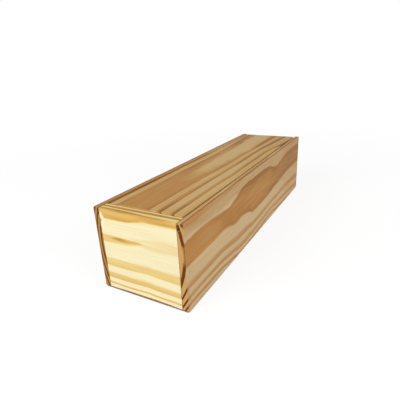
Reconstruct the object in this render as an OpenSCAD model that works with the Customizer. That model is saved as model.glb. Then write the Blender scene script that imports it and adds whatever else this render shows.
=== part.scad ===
// Single-bottle wine box: six pine boards and the brads that hold them.
// The lid slides in grooves in the side boards and leaves over the low rear end board.
// Frame: X across the box, Y along it with the front end at -Y, Z up, origin under its centre.

/* [Box] */
// Outside length, from the front end to the rear end
box_l = 370; // [340:1:400]
// Outside width
box_w = 99; // [96:1:120]
// Outside height
box_h = 88; // [86:1:110]

/* [Boards] */
// Thickness of the two side boards
side_t = 6.5; // [6:0.5:9]
// Thickness of the two end boards
end_t = 11.5; // [9:0.5:15]
// Thickness of the bottom board
bottom_t = 4; // [4:0.5:6]
// Sanded flat on each outer arris of a board
arris = 0.5; // [0.3:0.1:0.8]
// Radius of the knocked lower corners of the side boards
corner_r = 2.5; // [1:0.5:4]
// Height of the end boards' lower edges above the ground
end_lift = 1.2; // [0.3:0.1:1.6]

/* [Lid] */
// Wood left above the lid groove
groove_drop = 4.7; // [4:0.1:6]
// Height of the lid groove
groove_h = 2.6; // [2.2:0.1:3]
// Depth of the lid groove into its board
groove_d = 3; // [2.5:0.1:3.5]
// Clearance between the lid's tongue and the groove, on each side
lid_gap = 0.3; // [0.2:0.05:0.4]
// Depth of the lid's face under the top edges of the side boards
lid_drop = 0.2; // [0:0.1:1]
// Distance from the lid's rear end to the rear of the side boards
lid_inset = 3; // [0.5:0.5:5]
// Width of the open channel between a side board and the raised field of the lid
side_reveal = 2; // [1:0.1:5]
// Width of the open channel between the front end board and the raised field
front_reveal = 1.8; // [0.6:0.1:6]

/* [Brads] */
// Diameter of a brad's shank
brad_d = 1.2; // [1:0.1:1.4]
// Length of a brad, head and point included
brad_l = 20; // [16:1:25]
// Diameter of a brad's head
brad_head_d = 1.9; // [1.6:0.1:2.2]
// Height of a brad's head
brad_head_h = 0.6; // [0.4:0.1:1]
// Depth that the heads are set under the wood
brad_sink = 0.3; // [0.2:0.1:0.6]
// Brads in a side board along the bottom board
bottom_brads = 5; // [3:1:9]
// Brads from the ground up at a rear corner
rear_brads = 3; // [2:1:4]
// Brads below the groove at a front corner, with one more above the groove
front_brads = 3; // [2:1:4]

/* [Hidden] */

pine = [0.86, 0.70, 0.47];
pale_pine = [0.96, 0.88, 0.70];
warm_pine = [0.80, 0.62, 0.40];
steel = [0.62, 0.60, 0.57];

// Inside faces of the walls
inner_x = box_w / 2 - side_t;
inner_y = box_l / 2 - end_t;

// Levels of the groove, which the lid's tongue and the rear end board follow
groove_top_z = box_h - groove_drop;
groove_floor_z = groove_top_z - groove_h;
lid_floor_z = groove_floor_z + lid_gap;
tongue_h = groove_h - 2 * lid_gap;
tongue_reach = groove_d - lid_gap;
lid_top_z = box_h - lid_drop;
lid_rear_y = box_l / 2 - lid_inset;
tongue_front_y = -inner_y - tongue_reach;
field_front_y = -inner_y + front_reveal;

// A chisel point is drawn as a short cone that ends in a small flat
brad_point_l = 1.5;
brad_point_d = 0.3;
brad_facets = 24;
// The end brads keep this far from the ground and from the groove
end_brad_margin = 10;
// The bottom brads keep this far from the ends of the box
bottom_brad_margin = 25;
// Steps in a quarter turn of a rounded corner
corner_steps = 8;
// Tools that cut through a face run this far past it
past = 1;

// Outline of a rectangle from (0, 0) with a flat across each corner
function eased_rectangle(w, h, e = arris) = [
    [e, 0], [w - e, 0], [w, e], [w, h - e],
    [w - e, h], [e, h], [0, h - e], [0, e]
];

// Points of a quarter round about centre c, from angle a on
function quarter_round(c, r, a) = [
    for (i = [0:corner_steps]) c + r * [cos(a + 90 * i / corner_steps), sin(a + 90 * i / corner_steps)]
];

// Outline of a side board's face, with knocked lower corners and eased upper ones
function side_face(l, h) = concat(
    quarter_round([corner_r, corner_r], corner_r, 180),
    quarter_round([l - corner_r, corner_r], corner_r, 270),
    [[l, h - arris], [l - arris, h], [arris, h], [0, h - arris]]
);

// Extrusion of an outline in Y and Z along +X
module along_x(l) {
    rotate([90, 0, 90]) linear_extrude(l) children();
}

// Extrusion of an outline in X and Z along +Y
module along_y(l) {
    translate([0, l, 0]) rotate([90, 0, 0]) linear_extrude(l) children();
}

// A planed board with all its arrises eased, from its lowest corner
module eased_board(w, l, h) {
    intersection() {
        linear_extrude(h) polygon(eased_rectangle(w, l));
        along_x(w) polygon(eased_rectangle(l, h));
        along_y(l) polygon(eased_rectangle(w, h));
    }
}

// One brad driven along +X, with its head's face at the origin
module brad() {
    rotate([0, 90, 0]) {
        cylinder(d = brad_head_d, h = brad_head_h, $fn = brad_facets);
        cylinder(d = brad_d, h = brad_l - brad_point_l, $fn = brad_facets);
        translate([0, 0, brad_l - brad_point_l])
            cylinder(d1 = brad_d, d2 = brad_point_d, h = brad_point_l, $fn = brad_facets);
    }
}

// The hole that a brad has made, open from its head to the face of the board
module brad_hole() {
    brad();
    translate([-brad_sink - past, 0, 0]) rotate([0, 90, 0])
        cylinder(d = brad_head_d, h = brad_sink + past + brad_head_h, $fn = brad_facets);
}

// Places of the brads in the left side board, each with its point inwards
module at_front_corner() {
    y = -box_l / 2 + end_t / 2;
    rise = (groove_floor_z - 2 * end_brad_margin) / (front_brads - 1);
    for (i = [0:front_brads - 1])
        translate([-box_w / 2 + brad_sink, y, end_brad_margin + i * rise]) children();
    translate([-box_w / 2 + brad_sink, y, box_h - groove_drop / 2]) children();
}

module at_rear_corner() {
    y = box_l / 2 - end_t / 2;
    rise = (groove_floor_z - 2 * end_brad_margin) / (rear_brads - 1);
    for (i = [0:rear_brads - 1])
        translate([-box_w / 2 + brad_sink, y, end_brad_margin + i * rise]) children();
}

module at_bottom_edge() {
    run = (box_l - 2 * bottom_brad_margin) / (bottom_brads - 1);
    for (i = [0:bottom_brads - 1])
        translate([-box_w / 2 + brad_sink, -box_l / 2 + bottom_brad_margin + i * run, bottom_t / 2])
            children();
}

module all_left_holes() {
    at_front_corner() brad_hole();
    at_rear_corner() brad_hole();
    at_bottom_edge() brad_hole();
}

// Left side board: the groove for the lid runs right through both of its ends
module left_side() {
    difference() {
        translate([-box_w / 2, -box_l / 2, 0]) intersection() {
            linear_extrude(box_h) polygon(eased_rectangle(side_t, box_l));
            along_x(side_t) polygon(side_face(box_l, box_h));
            along_y(box_l) polygon(eased_rectangle(side_t, box_h));
        }
        translate([-inner_x - groove_d, -box_l / 2 - past, groove_floor_z])
            cube([groove_d + past, box_l + 2 * past, groove_h]);
        all_left_holes();
    }
}

module side_board_left() {
    color(warm_pine) left_side();
}

module side_board_right() {
    color(warm_pine) mirror([1, 0, 0]) left_side();
}

// Front end board: full height, with a groove inside for the lid's front tongue
module front_end_board() {
    color(pale_pine) difference() {
        translate([-inner_x, -box_l / 2, end_lift])
            eased_board(2 * inner_x, end_t, box_h - end_lift);
        translate([-inner_x - past, -inner_y - groove_d, groove_floor_z])
            cube([2 * inner_x + 2 * past, groove_d + past, groove_h]);
        at_front_corner() brad_hole();
        mirror([1, 0, 0]) at_front_corner() brad_hole();
    }
}

// Rear end board: ends level with the groove's floor, so the lid passes over it
module rear_end_board() {
    color(pine) difference() {
        translate([-inner_x, inner_y, end_lift])
            eased_board(2 * inner_x, end_t, groove_floor_z - end_lift);
        at_rear_corner() brad_hole();
        mirror([1, 0, 0]) at_rear_corner() brad_hole();
    }
}

// Bottom board: lies between the four walls, level with the side boards' lower edges
module bottom_board() {
    color(pine) difference() {
        translate([-inner_x, -inner_y, 0])
            eased_board(2 * inner_x, 2 * inner_y, bottom_t);
        at_bottom_edge() brad_hole();
        mirror([1, 0, 0]) at_bottom_edge() brad_hole();
    }
}

// Lid: a raised field on a thin tongue, which runs in the grooves on three edges
module sliding_lid() {
    field_x = inner_x - side_reveal;
    tongue_x = inner_x + tongue_reach;
    color(warm_pine) {
        translate([-tongue_x, tongue_front_y, lid_floor_z])
            cube([2 * tongue_x, lid_rear_y - tongue_front_y, tongue_h]);
        translate([-field_x, field_front_y, lid_floor_z])
            eased_field(2 * field_x, lid_rear_y - field_front_y, lid_top_z - lid_floor_z);
    }
}

// The lid's field: square below, where it joins the tongue, and eased round its top face
module eased_field(w, l, h) {
    intersection() {
        linear_extrude(h) polygon(eased_rectangle(w, l));
        along_x(w) polygon([[0, 0], [l, 0], [l, h - arris], [l - arris, h], [arris, h], [0, h - arris]]);
        along_y(l) polygon([[0, 0], [w, 0], [w, h - arris], [w - arris, h], [arris, h], [0, h - arris]]);
    }
}

module front_left_brads() {
    color(steel) at_front_corner() brad();
}

module front_right_brads() {
    color(steel) mirror([1, 0, 0]) at_front_corner() brad();
}

module rear_left_brads() {
    color(steel) at_rear_corner() brad();
}

module rear_right_brads() {
    color(steel) mirror([1, 0, 0]) at_rear_corner() brad();
}

module bottom_left_brads() {
    color(steel) at_bottom_edge() brad();
}

module bottom_right_brads() {
    color(steel) mirror([1, 0, 0]) at_bottom_edge() brad();
}

side_board_left();
side_board_right();
front_end_board();
rear_end_board();
bottom_board();
sliding_lid();
front_left_brads();
front_right_brads();
rear_left_brads();
rear_right_brads();
bottom_left_brads();
bottom_right_brads();
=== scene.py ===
import math

import bmesh
import bpy
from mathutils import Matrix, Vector


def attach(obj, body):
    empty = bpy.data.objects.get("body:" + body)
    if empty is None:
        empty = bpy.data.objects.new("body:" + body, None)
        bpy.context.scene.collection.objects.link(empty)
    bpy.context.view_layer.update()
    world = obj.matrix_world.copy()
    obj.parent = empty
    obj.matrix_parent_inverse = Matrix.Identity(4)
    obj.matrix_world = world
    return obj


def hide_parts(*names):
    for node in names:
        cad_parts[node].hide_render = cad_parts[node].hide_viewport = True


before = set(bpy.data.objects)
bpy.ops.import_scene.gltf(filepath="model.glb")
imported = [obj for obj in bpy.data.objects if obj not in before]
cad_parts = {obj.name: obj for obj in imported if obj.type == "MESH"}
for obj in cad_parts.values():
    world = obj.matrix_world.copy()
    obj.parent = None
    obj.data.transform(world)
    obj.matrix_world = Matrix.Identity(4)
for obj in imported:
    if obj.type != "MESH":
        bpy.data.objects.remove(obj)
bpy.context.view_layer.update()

# Side boards: two 6.5 mm boards of flat-sawn pine, planed and lightly sanded, with a groove for the lid.
# Both come from near the bark, so one growth ring lies almost in the outer face and shows there as a
# long brown flame, and the same rings show as dark arcs on the sawn ends.


def linear(hex_colour, alpha=1.0):
    """Turns an sRGB hex colour into the linear one that the shaders take."""
    parts = [int(hex_colour[i:i + 2], 16) / 255 for i in (0, 2, 4)]
    return [c / 12.92 if c <= 0.04045 else ((c + 0.055) / 1.055) ** 2.4 for c in parts] + [alpha]


def add(tree, kind, inputs=(), stops=(), points=(), **settings):
    """Adds a node with its settings and inputs. An input that is a socket is linked, and one that is a
    node is linked by its first output. stops fill a colour ramp, and points fill a curve."""
    made = tree.nodes.new(kind)
    for name, value in settings.items():
        setattr(made, name, value)
    for name, value in dict(inputs).items():
        if isinstance(value, bpy.types.Node):
            value = value.outputs[0]
        if isinstance(value, bpy.types.NodeSocket):
            tree.links.new(value, made.inputs[name])
        else:
            made.inputs[name].default_value = value
    if stops:
        elements = made.color_ramp.elements
        elements.remove(elements[1])
        elements[0].position, elements[0].color = stops[0]
        for position, colour in stops[1:]:
            elements.new(position).color = colour
    if points:
        made.mapping.use_clip = False
        curve = made.mapping.curves[0]
        curve.points[0].location = points[0]
        curve.points[1].location = points[-1]
        for place in points[1:-1]:
            curve.points.new(*place)
        made.mapping.update()
    return made


def worked_board(piece_name, node, arris=0.00022):
    """Copies a board's sawn shape from the frame and rounds every arris, as sandpaper leaves it."""
    weld, shortest_edge = 1e-6, 0.0006
    flat, sharp = math.radians(1), math.radians(30)
    form = bmesh.new()
    form.from_mesh(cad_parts[node].data)
    bmesh.ops.remove_doubles(form, verts=form.verts, dist=weld)
    bmesh.ops.dissolve_limit(form, angle_limit=flat, verts=form.verts, edges=form.edges)
    turned = [e for e in form.edges if e.calc_face_angle(0) > sharp and e.calc_length() > shortest_edge]
    rounded = bmesh.ops.bevel(form, geom=turned, offset=arris, segments=2, profile=0.6, affect="EDGES",
                              clamp_overlap=True)
    for face in rounded["faces"]:
        face.smooth = True
    mesh = bpy.data.meshes.new(piece_name)
    form.to_mesh(mesh)
    form.free()
    board = bpy.data.objects.new(piece_name, mesh)
    bpy.context.scene.collection.objects.link(board)
    return board


def pine(name, along, pith, rings, drift, colours, end_colours, grain_patches_and_painted_light=(), streaks=0.25, crowded=(0, 1),
         seed=0.0):
    """Planed pine, cut from a trunk whose pith is at the point pith of the board's cross section.

    All lengths are in millimetres. along is the axis of the grain. rings holds, for each growth ring,
    the radius of its sharp outer edge, the width of its dark latewood and how dark it is. drift holds,
    along the board, how far the pith wanders across it and in height, and how crowded the rings outside
    the second one are, on the side that crowded points to from the pith, across and in height. Each patch
    holds a centre, three radii and how much darker the wood is there; some patches are the wood's own
    colour, and some are painted shade or painted light. streaks is how strongly it is streaked.
    colours run from the palest to the darkest wood."""
    mat = bpy.data.materials.new(name)
    mat.use_nodes = True
    tree = mat.node_tree
    tree.nodes.clear()

    # Place in the board, in millimetres
    frame_place = add(tree, "ShaderNodeTexCoord")
    place = add(tree, "ShaderNodeVectorMath", {0: frame_place.outputs["Object"], "Scale": 1000.0},
                operation="SCALE")
    split = add(tree, "ShaderNodeSeparateXYZ", {0: place})
    run, across = (1, 0) if along == "Y" else (0, 1)

    def grain_noise(width, length, strength, offset, detail, roughness=0.5):
        """Noise about zero, with spots of that width, drawn out along the grain to that length."""
        scale = [1 / width] * 3
        scale[run] = 1 / length
        spots = add(tree, "ShaderNodeVectorMath", {0: place, 1: scale, 2: (seed + offset, seed, -seed)},
                    operation="MULTIPLY_ADD")
        noise = add(tree, "ShaderNodeTexNoise", {"Vector": spots, "Scale": 1.0, "Detail": detail,
                                                 "Roughness": roughness})
        return add(tree, "ShaderNodeMath", {0: noise, 1: strength, 2: -strength / 2},
                   operation="MULTIPLY_ADD")

    # The pith wanders along the board, and the rings waver by up to a quarter of a millimetre
    start, end = drift[0][0], drift[-1][0]
    progress = add(tree, "ShaderNodeMapRange", {0: split.outputs[run], 1: start, 2: end})
    wander = [add(tree, "ShaderNodeFloatCurve", {1: progress},
                  points=[((row[0] - start) / (end - start), row[part]) for row in drift])
              for part in range(1, len(drift[0]))]
    offsets = []
    for part, axis in enumerate((across, 2)):
        offset = add(tree, "ShaderNodeMath", {0: split.outputs[axis], 1: pith[part]}, operation="SUBTRACT")
        offsets.append(add(tree, "ShaderNodeMath", {0: offset, 1: wander[part]}, operation="SUBTRACT"))
    from_pith = add(tree, "ShaderNodeCombineXYZ", dict(enumerate(offsets)))
    distance = add(tree, "ShaderNodeVectorMath", {0: from_pith}, operation="LENGTH").outputs["Value"]
    radius = add(tree, "ShaderNodeMath", {0: distance, 1: grain_noise(7, 45, 0.5, 3.1, 2.0)}, operation="ADD")

    # The outer rings crowd together on one side of the pith, fully so from this far to that side
    crowding_reach = 20.0
    if len(wander) == 3:
        past = add(tree, "ShaderNodeMath", {0: radius, 1: rings[1][0]}, operation="SUBTRACT")
        outside = add(tree, "ShaderNodeMath", {0: past, 1: 0.0}, operation="MAXIMUM")
        side = add(tree, "ShaderNodeVectorMath", {0: from_pith, 1: (*crowded, 0)},
                   operation="DOT_PRODUCT").outputs["Value"]
        side_share = add(tree, "ShaderNodeMapRange", {0: side, 1: 0.0, 2: crowding_reach})
        stretch = add(tree, "ShaderNodeMath", {0: wander[2], 1: 1.0}, operation="SUBTRACT")
        crowding = add(tree, "ShaderNodeMath", {0: stretch, 1: side_share}, operation="MULTIPLY")
        radius = add(tree, "ShaderNodeMath", {0: outside, 1: crowding, 2: radius}, operation="MULTIPLY_ADD")

    # Each ring darkens slowly outwards through its latewood, and then stops sharply. The profile gives
    # how dark it is at some shares of its width in from its outer edge.
    margin = 0.5
    lowest = rings[0][0] - rings[0][1] - margin
    highest = rings[-1][0] + margin
    profile = ((1.0, 0.0), (0.7, 0.62), (0.25, 0.78), (0.03, 1.0), (-0.04, 0.0))
    stops = [((edge - part * width - lowest) / (highest - lowest), [tone * share] * 3 + [1])
             for edge, width, tone in rings for part, share in profile]
    ring_place = add(tree, "ShaderNodeMapRange", {0: radius, 1: lowest, 2: highest})
    tone = add(tree, "ShaderNodeValToRGB", {0: ring_place}, stops=stops)

    # Darker and lighter patches, some of the wood's own colour and some painted shade or painted light, which
    # fade out between these shares of their radii
    faded, full = 1.1, 0.65
    ragged = grain_noise(4, 30, 0.5, 19.3, 1.0)
    for centre, radii, strength in grain_patches_and_painted_light:
        offset = add(tree, "ShaderNodeVectorMath", {0: place, 1: centre}, operation="SUBTRACT")
        share = add(tree, "ShaderNodeVectorMath", {0: offset, 1: radii}, operation="DIVIDE")
        reach = add(tree, "ShaderNodeVectorMath", {0: share}, operation="LENGTH").outputs["Value"]
        ragged_reach = add(tree, "ShaderNodeMath", {0: reach, 1: ragged}, operation="ADD")
        patch_and_painted_light_tone = add(tree, "ShaderNodeMapRange", {0: ragged_reach, 1: faded, 2: full, 3: 0.0, 4: strength},
                    interpolation_type="SMOOTHSTEP")
        tone = add(tree, "ShaderNodeMath", {0: tone, 1: patch_and_painted_light_tone}, operation="ADD")
    palest = -0.25
    tone = add(tree, "ShaderNodeMath", {0: tone, 1: palest}, operation="MAXIMUM")

    # Fibres run along the grain, drawn about 1 mm wide, because the real ones are too fine to show
    fibres = grain_noise(1.2, 55, 0.4, 7.7, 3.0, 0.65)
    soft_streaks = grain_noise(3.2, 70, streaks, 12.4, 1.0)
    wood = add(tree, "ShaderNodeMath", {0: tone, 1: 0.8, 2: 0.2}, operation="MULTIPLY_ADD")
    fibrous = add(tree, "ShaderNodeMath", {0: wood, 1: fibres}, operation="ADD")
    face_tone = add(tree, "ShaderNodeMath", {0: fibrous, 1: soft_streaks}, operation="ADD", use_clamp=True)
    face_stops = list(zip((0.0, 0.2, 0.5, 0.78, 1.0), colours))
    face_colour = add(tree, "ShaderNodeValToRGB", {0: face_tone}, stops=face_stops)

    # Sawn ends soak up light, so their rings are much darker and sharper
    facing = add(tree, "ShaderNodeSeparateXYZ", {0: frame_place.outputs["Normal"]}).outputs[run]
    squareness = add(tree, "ShaderNodeMath", {0: facing}, operation="ABSOLUTE")
    sawn_end = add(tree, "ShaderNodeMapRange", {0: squareness, 1: 0.55, 2: 0.8})
    end_ring = add(tree, "ShaderNodeMapRange", {0: tone, 1: 0.45, 2: 0.62})
    end_tone = add(tree, "ShaderNodeMath", {0: fibres, 1: 0.75, 2: end_ring}, operation="MULTIPLY_ADD",
                   use_clamp=True)
    end_colour = add(tree, "ShaderNodeMix", {0: end_tone, 6: end_colours[0], 7: end_colours[1]},
                     data_type="RGBA").outputs[2]
    colour = add(tree, "ShaderNodeMix", {0: sawn_end, 6: face_colour, 7: end_colour},
                 data_type="RGBA").outputs[2]

    # Bare planed softwood is dull, with a little more sheen on the hard latewood, which also stands proud
    rough = add(tree, "ShaderNodeMapRange", {0: face_tone, 3: 0.64, 4: 0.52})
    latewood = add(tree, "ShaderNodeMath", {0: tone, 1: 0.35}, operation="MULTIPLY")
    height = add(tree, "ShaderNodeMath", {0: fibres, 1: 1.5, 2: latewood}, operation="MULTIPLY_ADD")
    bump = add(tree, "ShaderNodeBump", {"Height": height, "Strength": 0.4, "Distance": 0.00015})
    skin = add(tree, "ShaderNodeBsdfPrincipled", {"Base Color": colour, "Roughness": rough, "IOR": 1.5,
                                                  "Specular IOR Level": 0.12, "Normal": bump})
    add(tree, "ShaderNodeOutputMaterial", {0: skin})
    return mat


side_colours = [linear(c) for c in ("E0C496", "D6B88B", "C49C6B", "C08848", "9C6C30")]
end_grain = [linear(c) for c in ("CEA062", "6A3400")]

# The right-hand board's flame: the pith is 84 mm inside the outer face, and wanders towards it about half
# way along the board
right_rings = [(77.0, 1.8, 0.5), (85.3, 4.6, 0.92), (91.8, 2.5, 0.75), (97.0, 2.4, 0.75), (101.3, 2.2, 0.9)]
right_drift = [(-185, -0.25, -2.0, 1.13), (-145, -0.21, -0.7, 1.1), (-110, -0.45, -1.0, 1.06),
               (-85, -0.03, -2.5, 1.02), (-55, 0.68, 1.6, 0.8), (-35, 1.25, -0.5, 0.93),
               (-20, 1.62, -1.9, 1.03), (15, 1.5, -1.8, 1.12), (45, 0.6, -3.1, 1.2), (60, 0.08, -3.5, 1.14),
               (75, 0.03, -1.6, 1.02), (105, 0.15, 1.6, 0.86), (145, 0.22, 3.5, 0.76), (185, 0.05, 3.4, 0.7)]
right_pine = pine("planed_pine_right_side", "Y", (-34.7, 60.0), right_rings, right_drift,
                  side_colours, end_grain, crowded=(0, -1), seed=2.0,
                  grain_patches_and_painted_light=[((49.5, -185, 86), (6, 50, 5), 0.22),
                          ((49.5, -150, 88), (6, 130, 5), 0.12),
                          ((49.5, -150, 76), (5, 60, 6), 0.1),
                          # Painted light: the inner top edge is lightened where the channel beside the lid
                          # shades it
                          ((44, 0, 88), (2, 420, 2.5), -0.35),
                          ((47.8, 0, 88.3), (1.2, 420, 2.5), 0.8),
                          ((49.5, 60, 85), (5, 330, 14), 0.28),
                          ((49.5, 20, 58), (5, 110, 22), 0.12),
                          ((49.5, -165, 58), (4, 60, 15), -0.14),
                          ((46, -186, 13), (8, 6, 18), 0.22),
                          ((49.5, 65, 44), (5, 42, 3.2), 0.25),
                          ((49.5, 140, 49.5), (5, 62, 3.4), 0.3),
                          # Painted shade: the rear half of the face is darkened, where the lamps' light falls
                          # off
                          ((49.5, 195, 60), (8, 110, 70), 0.2),
                          ((49.5, 186, 44), (3, 6, 70), 0.36)])
side_right = worked_board("right_side_board", "side_board_right")
side_right.data.materials.append(right_pine)
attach(side_right, "box")
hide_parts("side_board_right")

left_rings = [(118.0, 2.4, 0.9), (124.3, 2.6, 1.0), (128.4, 2.5, 1.0), (132.3, 2.4, 1.0), (136.5, 2.0, 0.95)]
left_drift = [(-185, 0.0, 0), (-120, 0.4, 2), (-50, 1.0, -2), (10, 0.6, 1), (80, -0.4, 3), (185, 0.3, -2)]
left_end_grain = [linear(c) for c in ("B88746", "6C3800")]
left_pine = pine("planed_pine_left_side", "Y", (78.5, 50.0), left_rings, left_drift, side_colours,
                 left_end_grain, seed=5.0,
                 # Painted shade: the top of the board and the channel beside the lid are darkened along the
                 # whole length; painted light then lifts the channel again from the middle to the rear end
                 grain_patches_and_painted_light=[((-46, 0, 89), (7, 260, 4), 0.6),
                         ((-43, 80, 86), (1.5, 110, 5), -0.8)])
side_left = worked_board("left_side_board", "side_board_left")
side_left.data.materials.append(left_pine)
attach(side_left, "box")
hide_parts("side_board_left")

# Front end board: an 11.5 mm pine board across the box, paler than the others, with broad quiet rings.
# It stands between the side boards, glued and nailed, and the lid's tongue slides into its groove.
front_colours = [linear(c) for c in ("FDF3CC", "FAEEC2", "EDCF84", "E0B25E", "B4863C")]
front_rings = [(54.4, 7.5, 0.68), (87.7, 8.5, 0.5), (99.5, 6.0, 0.7), (106.0, 2.2, 0.76), (111.5, 2.0, 0.5)]
front_drift = [(-42.5, 0, 0.3), (-20, 0, -0.5), (0, -1, -0.3), (15, -1.9, -1.3), (42.5, -2.2, -2.2)]
front_pine = pine("planed_pine_front_end", "X", (-235.0, 100.0), front_rings, front_drift,
                  front_colours, end_grain, seed=9.0,
                  grain_patches_and_painted_light=[((-46, -185, 57.5), (48, 8, 4.8), 0.42),
                          ((-14, -185, 59), (19, 8, 2.3), 0.42),
                          ((26, -185, 61), (36, 8, 7), 0.2),
                          ((-15, -185, 85), (60, 3, 6), 0.13),
                          # Painted shade: the top of the board is darkened, most of all along its inner edge,
                          # a painted shadow of the gap before the lid
                          ((0, -179, 91), (90, 9, 7), 0.33),
                          ((0, -178, 88), (90, 1.9, 3), 1.0),
                          ((-43, -185, 77), (5.5, 5, 8), -0.8),
                          ((-42.5, -185, 76), (1.8, 3, 2.6), 1.5),
                          # Painted shadow: a dark line along the foot of the face, where the board stands
                          # clear of the floor
                          ((2, -185, 0.8), (46, 3, 2.3), 1.4)])
front = worked_board("front_board", "front_end_board")
front.data.materials.append(front_pine)
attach(front, "box")
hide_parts("front_end_board")

# Rear end board: the same pale pine and thickness as the front one, but lower, so that the lid passes
# over it. It stands between the side boards, glued and nailed.
rear_colours = [linear(c) for c in ("F3E2BA", "EDD8A8", "E0BF7E", "D2A458", "B08040")]
rear_rings = [(66, 3, 0.6), (73, 4, 0.7), (79, 3, 0.6), (86, 3, 0.6), (94, 4, 0.6), (101, 3, 0.6)]
rear_drift = [(-42.5, 0, 1), (-15, 0, -0.5), (10, 0, 0.8), (42.5, 0, -1)]
rear_pine = pine("planed_pine_rear_end", "X", (235.0, -20.0), rear_rings, rear_drift,
                 rear_colours, end_grain, seed=14.0)
rear = worked_board("rear_board", "rear_end_board")
rear.data.materials.append(rear_pine)
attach(rear, "box")
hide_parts("rear_end_board")

# Bottom board: 4 mm planed pine with narrow rings, let in between the four walls. Brads through the side
# boards hold it level with their lower edges.
bottom_rings = [(60, 2, 0.6), (66, 2, 0.7), (71, 2, 0.6), (75, 1.5, 0.7), (79, 1.5, 0.7), (82, 1, 0.7)]
bottom_drift = [(-185, 0, 0), (-90, 1, 0.4), (0, -1, 1), (90, 0.5, 0.3), (185, 1, 0.6)]
bottom_pine = pine("planed_pine_bottom", "Y", (14.0, -55.0), bottom_rings, bottom_drift,
                   side_colours, end_grain, seed=21.0)
bottom = worked_board("bottom_panel", "bottom_board")
bottom.data.materials.append(bottom_pine)
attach(bottom, "box")
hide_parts("bottom_board")

# Brads: 1.2 mm brass-plated steel wire nails with small flat heads, driven just under the face. The dull
# plating is close to the wood in colour, so the heads hardly show.
tarnish_spot = 0.00111
steel = bpy.data.materials.new("brass_plated_steel_brads")
steel.use_nodes = True
steel_tree = steel.node_tree
steel_tree.nodes.clear()
tarnish = add(steel_tree, "ShaderNodeTexNoise", {"Scale": 1 / tarnish_spot, "Detail": 3.0})
dulled = add(steel_tree, "ShaderNodeMix", {0: tarnish, 6: linear("DDB67C"), 7: linear("C29A5C")},
             data_type="RGBA").outputs[2]
plating = add(steel_tree, "ShaderNodeBsdfPrincipled", {"Base Color": dulled, "Metallic": 1.0,
                                                       "Roughness": 0.42})
add(steel_tree, "ShaderNodeOutputMaterial", {0: plating})
for node_name in ("front_left_brads", "front_right_brads", "rear_left_brads", "rear_right_brads",
                  "bottom_left_brads", "bottom_right_brads"):
    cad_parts[node_name].material_slots[0].material = steel

# Lid: a flat-sawn pine board, 6.8 mm thick, with three of its edges thinned to a tongue. Nothing fixes it:
# the tongue slides in the grooves of the side boards and the front end board.
lid_colours = [linear(c) for c in ("D1B17C", "CFA668", "C09454", "BA8544", "8E622A")]
lid_rings = [(77.0, 1.8, 0.5), (85.3, 3.9, 0.95), (88.8, 2.0, 1.25), (94.4, 2.3, 1.25), (99.9, 2.2, 0.45)]
lid_drift = [(-185, -1.2, 0.35, 0.97), (-75, -0.3, 0.4, 0.97), (-45, 0.3, 0.6, 0.95), (-20, 0.8, 0.65, 1.02),
             (35, 1.5, 0.75, 1.06), (75, 1.3, 0.95, 1.05), (115, 1.0, 1.3, 0.76), (145, 0.9, 1.7, 0.68),
             (185, 0.9, 2.5, 0.6)]
lid_pine = pine("planed_pine_lid", "Y", (-12.0, 4.2), lid_rings, lid_drift, lid_colours, end_grain,
                streaks=0.5, crowded=(1, 0), seed=31.0,
                grain_patches_and_painted_light=[((-8, 90, 88), (15, 175, 9), -0.9),
                        ((-18, 165, 88), (10, 65, 9), -0.6),
                        ((24, -80, 88), (16, 90, 6), -0.25),
                        # Painted light: the lid's edges are lightened in the shaded channels beside the side
                        # boards
                        ((-42, 0, 84), (2.5, 230, 4), -0.7),
                        ((42.5, -70, 84), (2.5, 110, 4), -0.9),
                        # Painted light: the lid's shaded front step behind the front board is lightened,
                        # which also quiets its end-grain rings
                        ((0, -173.5, 85.5), (80, 3.4, 4.5), -0.37),
                        ((0, 195, 88), (90, 120, 9), 0.18),
                        ((0, 182, 88), (60, 3.5, 5), 0.4)])
lid = worked_board("lid_board", "sliding_lid")
lid.data.materials.append(lid_pine)
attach(lid, "lid")
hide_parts("sliding_lid")

# Floor: matt white card that runs on past the picture, and keeps only a faint shadow by the box. What
# the eye sees of it is plain white, less that shadow and a painted dark brown shade in the corners by the box
# and under the front board, and far off all white.
floor_half, floor_level = 6.0, -0.0002
shadow_reach, shadow_end, corner_reach = 0.3, 0.9, 0.005
corner_dark, corner_light = 0.3, 0.5
near_white = 0.84
bpy.ops.mesh.primitive_grid_add(x_subdivisions=4, y_subdivisions=4, size=2 * floor_half,
                                location=(0, 0, floor_level))
floor = bpy.context.object
floor.name = "floor"
card = bpy.data.materials.new("matt_white_card")
card.use_nodes = True
card_tree = card.node_tree
card_tree.nodes.clear()


def seen_by_eye(tree):
    """Is 1 for what the eye sees, straight or by gloss or through glass, and 0 for what gives light."""
    sight = add(tree, "ShaderNodeLightPath")
    seen = sight.outputs["Is Camera Ray"]
    for ray in ("Is Glossy Ray", "Is Transmission Ray"):
        seen = add(tree, "ShaderNodeMath", {0: seen, 1: sight.outputs[ray]}, operation="MAXIMUM")
    return seen


spot = add(card_tree, "ShaderNodeTexCoord").outputs["Object"]
from_box = add(card_tree, "ShaderNodeVectorMath", {0: spot}, operation="LENGTH").outputs["Value"]
far = add(card_tree, "ShaderNodeMapRange", {0: from_box, 1: shadow_reach, 2: shadow_end},
          interpolation_type="SMOOTHSTEP")
# Painted shade: the glow turns dark brown where the box's walls close in around the floor
corner = add(card_tree, "ShaderNodeAmbientOcclusion", {"Distance": corner_reach}).outputs["AO"]
opened = add(card_tree, "ShaderNodeMapRange", {0: corner, 1: corner_dark, 2: corner_light})
painted_corner_shade = add(card_tree, "ShaderNodeMix", {0: opened, 6: linear("2A1A08"), 7: linear("FFFFFF")},
             data_type="RGBA").outputs[2]
glow = add(card_tree, "ShaderNodeMapRange", {0: far, 3: near_white, 4: 1.0})
white = add(card_tree, "ShaderNodeEmission", {"Color": painted_corner_shade, "Strength": glow})
faint = add(card_tree, "ShaderNodeBsdfDiffuse", {"Color": linear("7C7C7C")})
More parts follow.
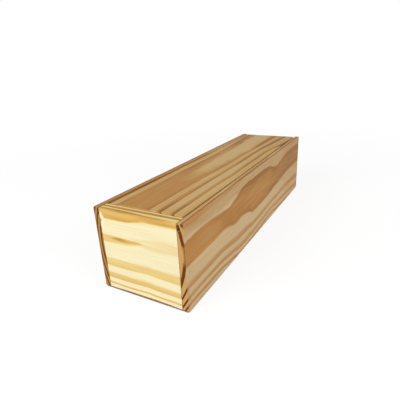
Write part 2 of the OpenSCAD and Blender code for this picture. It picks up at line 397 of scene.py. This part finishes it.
none = add(card_tree, "ShaderNodeBsdfDiffuse", {"Color": linear("000000")})
shadowed = add(card_tree, "ShaderNodeMixShader", {0: far, 1: faint, 2: none})
eye = add(card_tree, "ShaderNodeAddShader", {0: white, 1: shadowed})
matt = add(card_tree, "ShaderNodeBsdfDiffuse", {"Color": linear("B4B4B4")})
both = add(card_tree, "ShaderNodeMixShader", {0: seen_by_eye(card_tree), 1: matt, 2: eye})
add(card_tree, "ShaderNodeOutputMaterial", {0: both})
floor.data.materials.append(card)

# Room: an even white studio, seen as plain white. One broad lamp ahead lights it, and a weaker one at the
# right.
ambient_level = 0.4
world = bpy.data.worlds.new("white_studio")
bpy.context.scene.world = world
world.use_nodes = True
air = world.node_tree
air.nodes.clear()
level = add(air, "ShaderNodeMapRange", {0: seen_by_eye(air), 3: ambient_level, 4: 1.0})
sky = add(air, "ShaderNodeBackground", {"Color": linear("FFFFFF"), "Strength": level})
add(air, "ShaderNodeOutputWorld", {0: sky})


def softbox(name, place, aim, size, watts):
    """A square studio lamp at place, turned to aim."""
    lamp = bpy.data.lights.new(name, "AREA")
    lamp.size = size
    lamp.energy = watts
    holder = bpy.data.objects.new(name, lamp)
    holder.location = place
    holder.rotation_euler = (Vector(aim) - Vector(place)).to_track_quat("-Z", "Y").to_euler()
    bpy.context.scene.collection.objects.link(holder)


softbox("key_lamp", (-0.7, -1.7, 0.95), (0, -0.1, 0.04), 1.2, 26.5)
softbox("right_fill", (1.85, -0.35, 0.7), (0, -0.05, 0.04), 1.2, 18.5)

# Camera: a 31 mm lens on a 36 mm wide frame, a little above the box, ahead and to the right of it.
lens = bpy.data.cameras.new("camera")
lens.lens = 31.109
lens.sensor_width = 36.0
camera = bpy.data.objects.new("camera", lens)
camera.location = (0.18821, -0.39585, 0.20687)
camera.rotation_euler = [math.radians(turn) for turn in (68.648, 2.630, 28.938)]
bpy.context.scene.collection.objects.link(camera)
bpy.context.scene.camera = camera
bpy.context.scene.view_settings.view_transform = "Standard"
